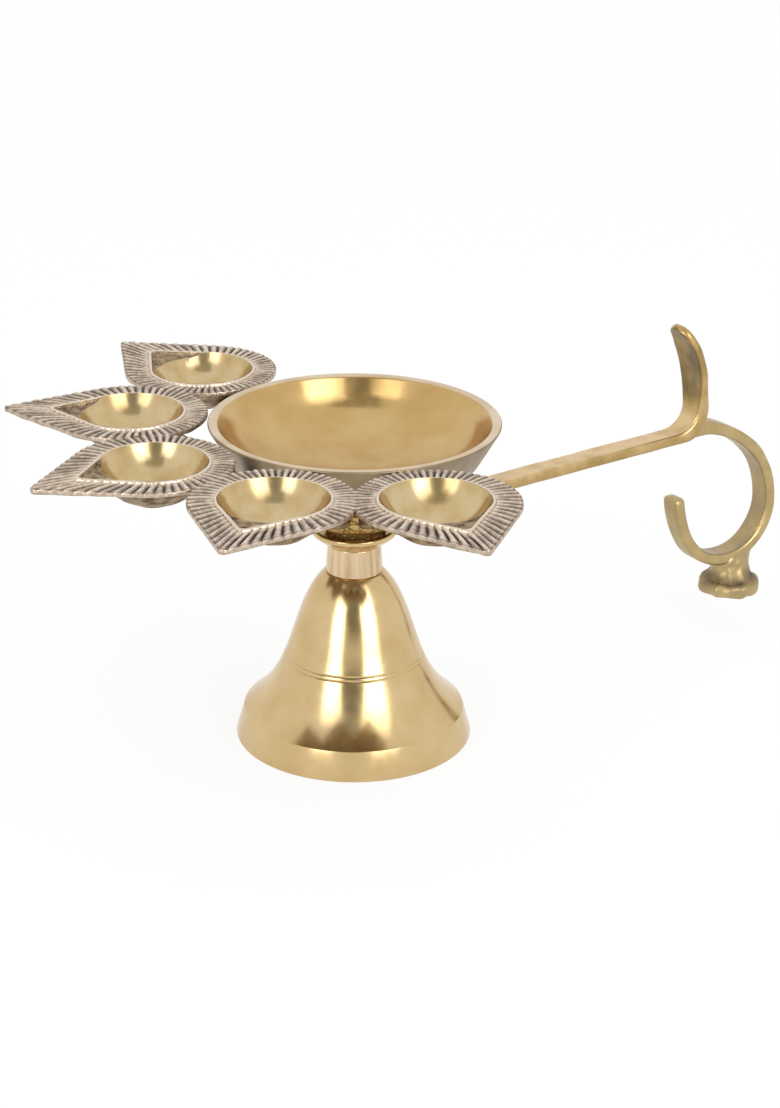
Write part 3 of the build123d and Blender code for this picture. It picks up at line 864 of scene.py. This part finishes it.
def roughen(mesh, size_mm, depth_mm, seed, weight=None):
    """Pushes points in and out by a smooth noise, as a casting's skin is, where an attribute says so."""
    offset = Vector((seed * 17.3, seed * 5.1, 0))
    shares = np.ones(len(mesh.vertices), np.float32)
    if weight:
        mesh.attributes[weight].data.foreach_get("value", shares)
    pushes = [v.normal * noise.noise(v.co / (size_mm * MM) + offset) * depth_mm * MM for v in mesh.vertices]
    for v, push, share in zip(mesh.vertices, pushes, shares):
        v.co += push * float(share)


# %% Make the five cups
GROOVE_DEPTH, SCALLOP_DEPTH, UNEVENNESS = 0.8, 0.35, 0.25
half_pitch = math.radians(cup_pitch / 2)
blank = link(leaf_net(), "leaf_blank")


def cup_turn(number):
    return Matrix.Rotation(math.radians(180 + (number - (cup_count + 1) / 2) * cup_pitch), 4, "Z")


for number in range(1, cup_count + 1):
    sizes = {"Groove Depth": GROOVE_DEPTH * MM, "Scallop Depth": SCALLOP_DEPTH * MM, "Unevenness": UNEVENNESS}
    mesh = run_tree(blank, rib_tree, {**sizes, "Seed": number, "Finish": rim_brass})
    clean(mesh)
    roughen(mesh, size_mm=5.0, depth_mm=0.25, seed=number, weight="belly")
    roughen(mesh, size_mm=1.6, depth_mm=0.07, seed=number, weight="rim")
    if number < cup_count:
        saw(mesh, (-math.sin(half_pitch), math.cos(half_pitch), 0))
    if number > 1:
        saw(mesh, (-math.sin(half_pitch), -math.cos(half_pitch), 0))
    print("open edges", clean(mesh))
    mesh.transform(cup_turn(number))
    place(link(mesh, f"cast_leaf_{number}"), "head", "cast_brass", f"leaf_cup_{number}")
bpy.data.objects.remove(blank)

# %% [markdown]
# ## Bars of the handle and the arms
# Handle, hook and arms are flat bars bent in one plane. A bevelled curve could carry one section along a path, but
# here width and thickness change on the way. So each bar is a net: a rounded oblong, worked out anew at every step of
# straight runs and arcs, and drawn in to a round at the end. A slow noise takes the straightness away, as filing by
# hand does.

# %% A path of runs and arcs
def walk(start, heading, moves, step=0.6):
    """Points and headings along a path in the X-Z plane; a move is (length,) or (radius, turn in degrees)."""
    at, angle = np.array(start, float), math.radians(heading)
    places, headings = [at], [angle]
    for size, *turned in moves:
        turn_by = math.radians(turned[0]) if turned else 0.0
        length = size * abs(turn_by) if turned else size
        count = max(2, math.ceil(length / step))
        chord = 2 * size * math.sin(abs(turn_by) / count / 2) if turned else length / count
        for _ in range(count):
            middle = angle + turn_by / count / 2
            at = at + chord * np.array([math.cos(middle), math.sin(middle)])
            angle += turn_by / count
            places.append(at)
            headings.append(angle)
    return np.array(places), np.array(headings)


# %% A bar along a path
def oblong(width, above, below, corner, dish):
    """Section of a bar as (across, up, face) points, face 1 on top; a dish hollows the top."""
    corner = min(corner, 0.48 * width, 0.48 * (above + below))
    right, top, low = width / 2 - corner, above - corner, corner - below
    made = []
    for quarter, (x, y) in enumerate([(right, top), (-right, top), (-right, low), (right, low)]):
        for a in (quarter + np.linspace(0, 1, 6)) * math.pi / 2:
            made.append((x + corner * math.cos(a), y + corner * math.sin(a), math.sin(a)))
        for b in np.linspace(1, -1, 9)[1:-1]:
            if quarter == 0:
                made.append((b * right, above - dish * (1 - b * b), 1))
            if quarter == 2:
                made.append((-b * right, -below, -1))
    return made


def bar(name, path, section, dull, material, wobble, seed):
    """Bar along a path. section(s, total) gives oblong's sizes, and dull(s, total, face) the tone and painted shade."""
    places, headings = path
    lengths = np.concatenate([[0], np.cumsum(np.linalg.norm(np.diff(places, axis=0), axis=1))])
    points, tone_and_painted_shade = [], []
    for (x, z), angle, s in zip(places, headings, lengths):
        width, above, below, corner, dish = section(s, lengths[-1])
        for across, up, face in oblong(width, above, below, corner, dish):
            points.append((x - up * math.sin(angle), across, z + up * math.cos(angle)))
            tone_and_painted_shade.append(dull(s, lengths[-1], face))
    size = len(points) // len(places)
    ends = [list(range(size)), list(range(len(points) - size, len(points)))]
    mesh = bpy.data.meshes.new(name)
    mesh.from_pydata((np.array(points) * MM).tolist(), [], ends + net_faces(len(places), size))
    store(mesh, "dull", tone_and_painted_shade)
    mesh.materials.append(material)
    print(name, "open edges", clean(mesh))
    roughen(mesh, size_mm=7.0, depth_mm=wobble, seed=seed)
    return link(mesh, name)


def closing(s, total, radius, power):
    """Share of its width that a bar keeps near its end; power 2 is a half round, and more is blunter."""
    over = np.clip(1 - (total - s) / radius, 0, 1)
    return max(0.1, (1 - over ** power) ** (1 / power))


# %% [markdown]
# ## Handle and thumb rest
# The bar leaves the hub just under the bowl, rises a little, bends up and leans back as a leaf-shaped thumb rest,
# which is narrow above the bend, wide in the middle, and hollowed in front for the thumb. It could be sculpted, but
# widths at a few shares of its length are easier to read and to change.

# %% Bend the handle
bar_thickness, bar_corner, bar_fullness = 2.7, 0.95, 0.15
bar_rise, bar_reach, bend_radius = 1.8, 100.0, 7.7
root_depth, root_rise = 1.5, 2.8
thumb_upright, thumb_radius, tip_rise = 3.0, 31.0, 0.26
root_x = hub_foot + root_depth
bar_start = (root_x, hub_seat + root_rise + (root_x - hub_foot / 2) * math.tan(math.radians(bar_rise)))
run_length = (bar_reach - root_x) / math.cos(math.radians(bar_rise))
moves = [(run_length,), (bend_radius, 90 - bar_rise), (thumb_upright,)]
thumb_foot = walk(bar_start, bar_rise, moves)[0][-1]
thumb_rise = corners_mm("handle_arm")[1][2] - tip_rise - thumb_foot[1]
thumb_lean = math.degrees(math.asin(thumb_rise / thumb_radius))
handle_path = walk(bar_start, bar_rise, moves + [(thumb_radius, thumb_lean)])
thumb_shares = [0.0, 0.12, 0.32, 0.58, 0.8, 0.9, 1.0]
thumb_widths = [6.8, 7.1, 7.5, 10.0, 10.1, 8.5, 6.2]
fillet_at, fillet_length, fillet_depth = run_length + 4.4, 2.2, 0.9
web_at, web_length, web_depth = run_length + 10.8, 4.5, 1.3
tip_narrow, tip_thin, dish_depth = 2.6, 0.9, 0.5


# %% Section and toning of the handle
def thumb_share(s, total):
    return np.clip((s - run_length) / (total - run_length), 0, 1)


def handle_section(s, total):
    share = thumb_share(s, total)
    width = np.interp(share, thumb_shares, thumb_widths) * closing(s, total, tip_narrow, 2)
    half = np.interp(share, (0.1, 0.4, 1.0), (bar_thickness / 2, 1.15, 1.0)) * closing(s, total, tip_thin, 2)
    dish = dish_depth * np.clip((share - 0.3) / 0.25, 0, 1) * np.clip((1 - share) / 0.15, 0, 1)
    fillet = fillet_depth * math.exp(-((s - fillet_at) / fillet_length) ** 2)
    web = web_depth * math.exp(-((s - web_at) / web_length) ** 2)
    return width, half, half + bar_fullness + fillet + web, bar_corner, dish


# Painted light and shade: the bar's top faces are painted paler than its sides, and the thumb rest's inner face darker.
def handle_painted_light_and_shade(s, total, face):
    front = np.clip((thumb_share(s, total) - 0.2) / 0.2, 0, 1)
    return np.interp(face, (0.6, 1.0), (0.4, 0.08 + 0.72 * front))


handle = bar("cast_handle", handle_path, handle_section, handle_painted_light_and_shade, bar_brass, wobble=0.12, seed=1)
place(handle, "head", "handle_brass", "handle_arm")

# %% [markdown]
# ## Finger hook
# The hook is a second bar behind the bend. It curls down round the finger and ends in a narrower rounded tip. A
# boolean could melt it into the handle, but it is a brazed piece of its own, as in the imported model. So it only grows
# thicker at its root, and the joint reads as one flowing fork.

# %% Bend the hook
bend_middle = walk(bar_start, bar_rise, [(run_length,), (bend_radius, (90 - bar_rise) / 2)])[0][-1]
hook_width, hook_tip_width = 6.8, 6.0
hook_half, hook_belly = 1.28, 1.5
fork_length, fork_above, fork_below = 5.5, 0.8, 1.0
hook_arcs = [(35.0, -38.4), (25.0, -44.2), (14.8, -89.0), (16.0, -64.0), (30.0, -28.0)]
hook_path = walk(bend_middle, -3.2, hook_arcs)
taper_from = sum(radius * math.radians(-angle) for radius, angle in hook_arcs[:3])


def hook_section(s, total):
    share = np.clip((s - taper_from) / (total - taper_from), 0, 1)
    width = (hook_width + (hook_tip_width - hook_width) * share) * closing(s, total, 1.8, 3)
    fork = math.exp(-(s / fork_length) ** 2)
    half = hook_half * closing(s, total, 1.4, 3)
    return width, half + fork_above * fork, half * hook_belly + fork_below * fork, bar_corner, 0.0


# Painted shade: the inside of the hook's curl is painted darkest, its outside a little darker than its sides.
def hook_painted_shade(s, total, face):
    return np.interp(face, (-1, -0.6, 0.6, 1), (0.6, 0.32, 0.32, 0.45))


hook = bar("cast_hook", hook_path, hook_section, hook_painted_shade, hook_brass, wobble=0.14, seed=2)
place(hook, "head", "handle_brass", "finger_hook")

# %% [markdown]
# ## Rest foot and cup arms
# Under the hook sits a small cast disc on a lumpy stem, on which the handle can rest. A sculpted lump would do, but
# the turning tree already gives the disc and stem. They are moved out to the hook, the stem is flattened towards the
# hook's width, and noise makes it lumpy. The arms that carry the cups are short bars like the handle.

# %% Rest foot
foot_low, foot_high = corners_mm("rest_foot")
foot_x, foot_r = (foot_low[0] + foot_high[0]) / 2, (foot_high[0] - foot_low[0]) / 2
disc_height, stem_sunk, waist_rise = 4.0, 0.3, 2.75
disc_top, stem_top = foot_low[2] + disc_height, foot_high[2] - stem_sunk
stem_waist, stem_spread, stem_flare = 5.5, 1.2, 1.9
stem = [
    (stem_waist + stem_flare, disc_top),
    (stem_waist, disc_top + waist_rise),
    (stem_waist + stem_spread, stem_top),
]
stem_side = smooth_curve(stem, (-1, 0.35), (0.3, 1), 20)
foot_outline = rounded([(0, foot_low[2]), (foot_r, foot_low[2], 1.5), (foot_r, disc_top, 2.0), stem_side[1]])[:-1]
foot_outline += [*stem_side[1:], (0, stem_top)]
rest = turn("cast_rest_foot", foot_outline, foot_brass, 96)
# Painted shade: the colour darkens in a band where the stem meets the disc, as shade in that crease.
tone_and_painted_shade = []
for v in rest.data.vertices:
    up = np.clip((v.co.z / MM - disc_top) / (stem_top - disc_top), 0, 1)
    v.co.y *= 1 - 0.5 * up ** 1.5
    tone_and_painted_shade.append(0.2 + 0.6 * math.exp(-((v.co.z / MM - disc_top - 0.9) / 1.8) ** 2))
store(rest.data, "dull", tone_and_painted_shade)
rest.data.transform(Matrix.Translation((foot_x * MM, 0, 0)))
roughen(rest.data, size_mm=3.2, depth_mm=0.5, seed=5)
roughen(rest.data, size_mm=1.6, depth_mm=0.2, seed=6)
place(rest, "head", "handle_brass", "rest_foot")

# %% Cup arms
arm_width, arm_thickness = 6.0, 4.0
arm_corner, arm_rise, arm_toning = 1.2, 6.2, 0.5
arm_root = (hub_foot, hub_seat + arm_rise)
landing, arm_sag = math.radians(235.0), 1.2
arm_end = (well_center + ball_radius * math.cos(landing), ball_middle + ball_radius * math.sin(landing))
chord = math.dist(arm_root, arm_end)
arm_radius = (chord ** 2 / 4 + arm_sag ** 2) / (2 * arm_sag)
arm_sweep = math.degrees(2 * math.asin(chord / 2 / arm_radius))
arm_heading = math.degrees(math.atan2(arm_end[1] - arm_root[1], arm_end[0] - arm_root[0])) - arm_sweep / 2
arm_path = walk(arm_root, arm_heading, [(arm_radius, arm_sweep)])
ball_center = Vector((well_center, 0, ball_middle)) * MM
inside_wall = (ball_radius + well_wall / 2) * MM
for number in range(1, cup_count + 1):
    arm = bar(
        f"cast_arm_{number}",
        arm_path,
        lambda s, total: (arm_width, arm_thickness / 2, arm_thickness / 2, arm_corner, 0.0),
        lambda s, total, face: arm_toning,
        skin_brass,
        wobble=0.2,
        seed=number + 10,
    )
    for v in arm.data.vertices:
        from_ball = v.co - ball_center
        if from_ball.length < inside_wall:
            v.co = ball_center + from_ball.normalized() * inside_wall
    arm.data.transform(cup_turn(number))
    place(arm, "head", "cast_brass", f"cup_arm_{number}")

# %% [markdown]
# ## Fasteners
# The stud, its washer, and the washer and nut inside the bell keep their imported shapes, which are already right. They
# could be turned again like the rest, but so little of them is seen that they only get a finish.

# %% Finish the fasteners
for name in ("bowl_stud", "bowl_washer", "base_washer", "base_nut"):
    nodes[name].data.materials.clear()
    nodes[name].data.materials.append(bolt_brass)
    print(name, "keeps its packed shape")

# %% [markdown]
# ## Camera
# The camera stands where the photograph's camera stood, solved from the foot, the bowl's rim and the leaf tips. It
# could be set by eye, but a solved camera lets render and photograph be compared point by point. Its sensor is set
# along the picture's long side.

# %% Camera
PICTURE = (780, 1108)
FOCAL_PIXELS, SENSOR = 2530.0, 36.0
CAMERA_AZIMUTH, CAMERA_ELEVATION = math.radians(-33.24), math.radians(22.73)
CAMERA_ROLL, CAMERA_DISTANCE = math.radians(0.573), 631.0
TARGET_ACROSS, TARGET_UP = 8.90, 48.64


def direction(azimuth, elevation):
    """Unit vector from the lamp, at an azimuth counted from -Y towards +X and a height above the table."""
    flat = math.cos(elevation)
    return Vector((math.sin(azimuth) * flat, -math.cos(azimuth) * flat, math.sin(elevation)))


backwards = direction(CAMERA_AZIMUTH, CAMERA_ELEVATION)
level_right = Vector((math.cos(CAMERA_AZIMUTH), math.sin(CAMERA_AZIMUTH), 0))
level_up = backwards.cross(level_right)
right = level_right * math.cos(CAMERA_ROLL) + level_up * math.sin(CAMERA_ROLL)
up = level_up * math.cos(CAMERA_ROLL) - level_right * math.sin(CAMERA_ROLL)
target = (level_right * TARGET_ACROSS + Vector((0, 0, TARGET_UP))) * MM
camera_data = bpy.data.cameras.new("camera")
camera_data.sensor_width = SENSOR
camera_data.lens = FOCAL_PIXELS * SENSOR / max(PICTURE)
camera_data.clip_start, camera_data.clip_end = 0.01, 50
camera = link(camera_data, "camera")
facing_lamp = Matrix((right, up, backwards)).transposed().to_4x4()
camera.matrix_world = Matrix.Translation(target + backwards * CAMERA_DISTANCE * MM) @ facing_lamp
bpy.context.scene.camera = camera
print("camera", [round(x, 3) for x in camera.matrix_world.translation], "lens", round(camera_data.lens, 1))

# %% [markdown]
# ## Studio
# Polished metal shows its surroundings, so the light is made of things to reflect. A picture of a room could stand
# round the lamp, but a few plain shapes say exactly what the metal mirrors: a white floor and a white room, a tall
# softbox on each side of the camera, and a grey curtain between them, which gives the olive stripe down the bell and
# in every well. The curtain is lit from above, so it pales upwards, and it is hidden from the camera itself.

# %% Floor and room
FLOOR_SIZE, FLOOR_GLOW = 6.0, 0.85


def seen_share(tree, share):
    """Share for rays that come from the camera, a mirror or glass."""
    path = add(tree, "ShaderNodeLightPath").outputs
    seen = add(tree, "ShaderNodeMath", {0: path["Is Camera Ray"], 1: path["Is Glossy Ray"]}, operation="MAXIMUM")
    seen = add(tree, "ShaderNodeMath", {0: seen, 1: path["Is Transmission Ray"]}, operation="MAXIMUM")
    return add(tree, "ShaderNodeMath", {0: seen, 1: share}, operation="MULTIPLY")


def board(name, width, height, material):
    """Flat board that belongs to the studio, in metres."""
    mesh = bpy.data.meshes.new(name)
    x, y = width / 2, height / 2
    mesh.from_pydata([(-x, -y, 0), (x, -y, 0), (x, y, 0), (-x, y, 0)], [], [[0, 1, 2, 3]])
    mesh.materials.append(material)
    made = link(mesh, name)
    print(name, width, "x", height, "m")
    return made


paper = bpy.data.materials.new("white_seamless_paper")
tree = emptied(paper)
matt = add(tree, "ShaderNodeBsdfDiffuse", {"Color": linear("#F4F4F2")})
glow = add(tree, "ShaderNodeEmission", {"Color": linear("#FFFFFF"), "Strength": 1.0})
mixed = add(tree, "ShaderNodeMixShader", {0: seen_share(tree, FLOOR_GLOW), 1: matt, 2: glow})
add(tree, "ShaderNodeOutputMaterial", {"Surface": mixed})
board("floor", FLOOR_SIZE, FLOOR_SIZE, paper)

# %% White room
world = bpy.data.worlds.new("white_studio")
bpy.context.scene.world = world
tree = emptied(world)
sky = add(tree, "ShaderNodeBackground", {"Color": linear("#FFFFFF"), "Strength": 1.0})
add(tree, "ShaderNodeOutputWorld", {"Surface": sky})
bpy.context.scene.view_settings.view_transform = "Standard"

# %% Softboxes
LAMP_MIDDLE = Vector((0, 0, 0.06))
SOFTBOX_RADIANCE, SOFTBOX_DISTANCE = 4.5, 1.2
FADE_FROM, FADE_TO = 0.35, 0.1


def aim(thing, azimuth, elevation, distance):
    """Puts a thing round the lamp, its -Z towards it; azimuth 0 is the camera's, and degrees grow to its right."""
    way = direction(CAMERA_AZIMUTH + math.radians(azimuth), math.radians(elevation))
    thing.location = LAMP_MIDDLE + way * distance
    thing.rotation_euler = (-way).to_track_quat("-Z", "Y").to_euler()


def softbox(name, azimuth, elevation, width, height):
    """Area light that fills a given angle, seen from the lamp, and fades towards its top."""
    data = bpy.data.lights.new(name, "AREA")
    data.shape = "RECTANGLE"
    data.size = 2 * SOFTBOX_DISTANCE * math.tan(math.radians(width / 2))
    data.size_y = 2 * SOFTBOX_DISTANCE * math.tan(math.radians(height / 2))
    data.energy = SOFTBOX_RADIANCE * math.pi * data.size * data.size_y
    tree = emptied(data)
    spot = add(tree, "ShaderNodeNewGeometry").outputs["Parametric"]
    up_share = add(tree, "ShaderNodeSeparateXYZ", {0: spot}).outputs[1]
    fade = add(tree, "ShaderNodeMapRange", {0: up_share, 1: FADE_FROM, 2: 1.0, 3: 1.0, 4: FADE_TO})
    shine = add(tree, "ShaderNodeEmission", {"Strength": fade})
    add(tree, "ShaderNodeOutputLight", {"Surface": shine})
    aim(link(data, name), azimuth, elevation, SOFTBOX_DISTANCE)
    print(name, round(data.size, 2), "x", round(data.size_y, 2), "m", round(data.energy, 1), "W")


softbox("softbox_right", 33, 32, 30, 54)
softbox("softbox_left", -32, 27, 23, 44)

# %% Curtain
CURTAIN_WIDTH, CURTAIN_HEIGHT, CURTAIN_DISTANCE = 0.85, 1.56, 1.3
cloth = bpy.data.materials.new("grey_curtain")
tree = emptied(cloth)
spot = add(tree, "ShaderNodeTexCoord").outputs["Object"]
height = add(tree, "ShaderNodeSeparateXYZ", {0: spot}).outputs[1]
lit = add(tree, "ShaderNodeMapRange", {0: height, 1: -0.3, 2: 0.5, 3: 1.0, 4: 1.8})
hung = add(tree, "ShaderNodeEmission", {"Color": linear("#8C8C85"), "Strength": lit})
add(tree, "ShaderNodeOutputMaterial", {"Surface": hung})
curtain = board("curtain", CURTAIN_WIDTH, CURTAIN_HEIGHT, cloth)
aim(curtain, -1, 41, CURTAIN_DISTANCE)
curtain.visible_camera = False
curtain.visible_shadow = False
